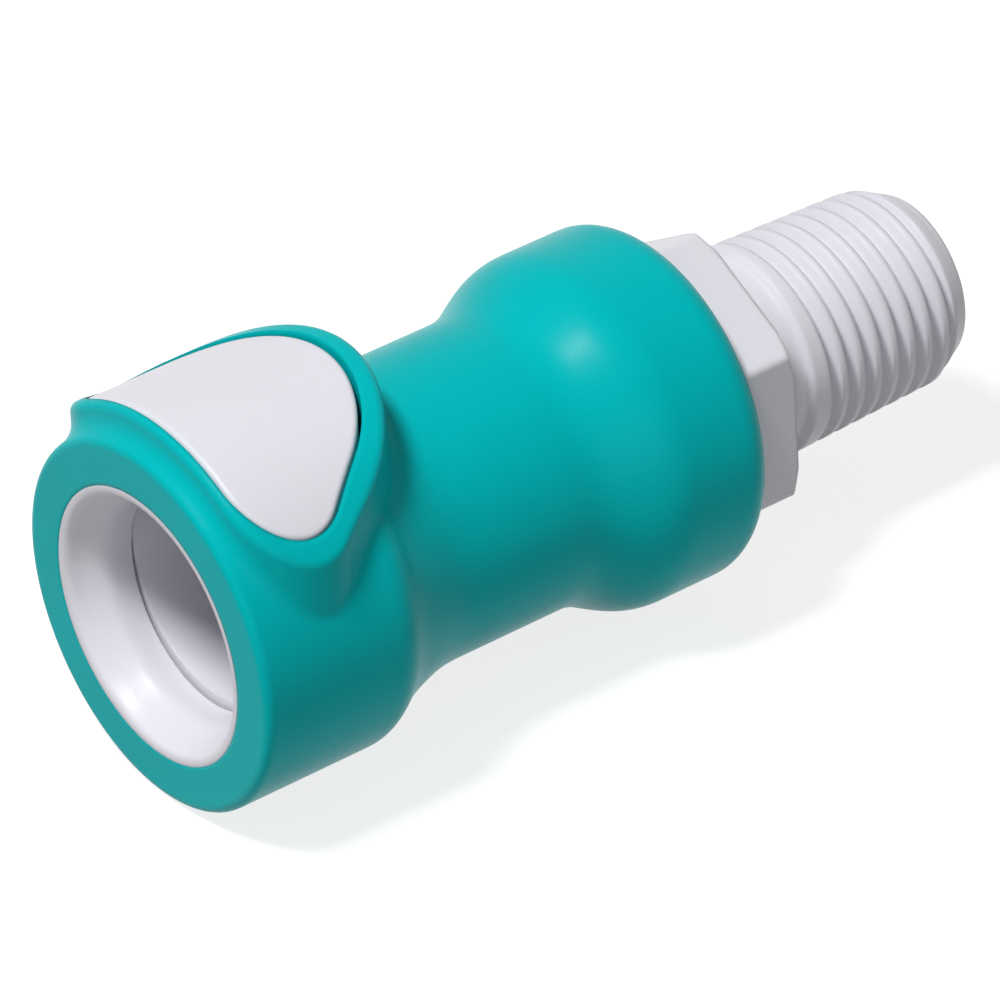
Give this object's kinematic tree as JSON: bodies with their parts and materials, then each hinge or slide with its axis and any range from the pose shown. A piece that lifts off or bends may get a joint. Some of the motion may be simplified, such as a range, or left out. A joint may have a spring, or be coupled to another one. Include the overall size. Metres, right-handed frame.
{
  "type": "quick disconnect coupling body",
  "caption": "Plastic quick disconnect coupling body: soft teal grip, thumb button latch, valved plug socket and a hexagon with a male tapered pipe thread.",
  "frame": {"origin": "centre of the front mating face, on the bore's axis", "axes": "+X along the bore from the mating face to the threaded end, +Z out through the thumb button"},
  "size_m": [0.0596, 0.0244, 0.0263],
  "materials": {
    "soft_grip": "satin soft-touch moulding",
    "white_plastic": "satin as moulded",
    "spring_steel": "drawn stainless wire",
    "seal_rubber": "smooth black rubber"
  },
  "bodies": {
    "coupling_body": {"body_housing": "white_plastic", "grip_sleeve": "soft_grip", "threaded_tail": "white_plastic", "tail_seal": "seal_rubber", "valve_guide": "white_plastic", "latch_spring": "spring_steel", "valve_spring": "spring_steel"},
    "latch": {"latch_button": "white_plastic"},
    "poppet": {"valve_poppet": "white_plastic", "poppet_seal": "seal_rubber"}
  },
  "joints": [
    {"name": "latch_press", "type": "slide", "parent": "coupling_body", "child": "latch", "axis": [0, 0, -1], "range_m": [0, 0.0015], "stiffness_N_per_m": 1300, "springref_m": -0.003, "deforming": ["latch_spring"]},
    {"name": "poppet_open", "type": "slide", "parent": "coupling_body", "child": "poppet", "axis": [1, 0, 0], "range_m": [0, 0.003], "stiffness_N_per_m": 1100, "springref_m": -0.003, "deforming": ["valve_spring"]}
  ]
}
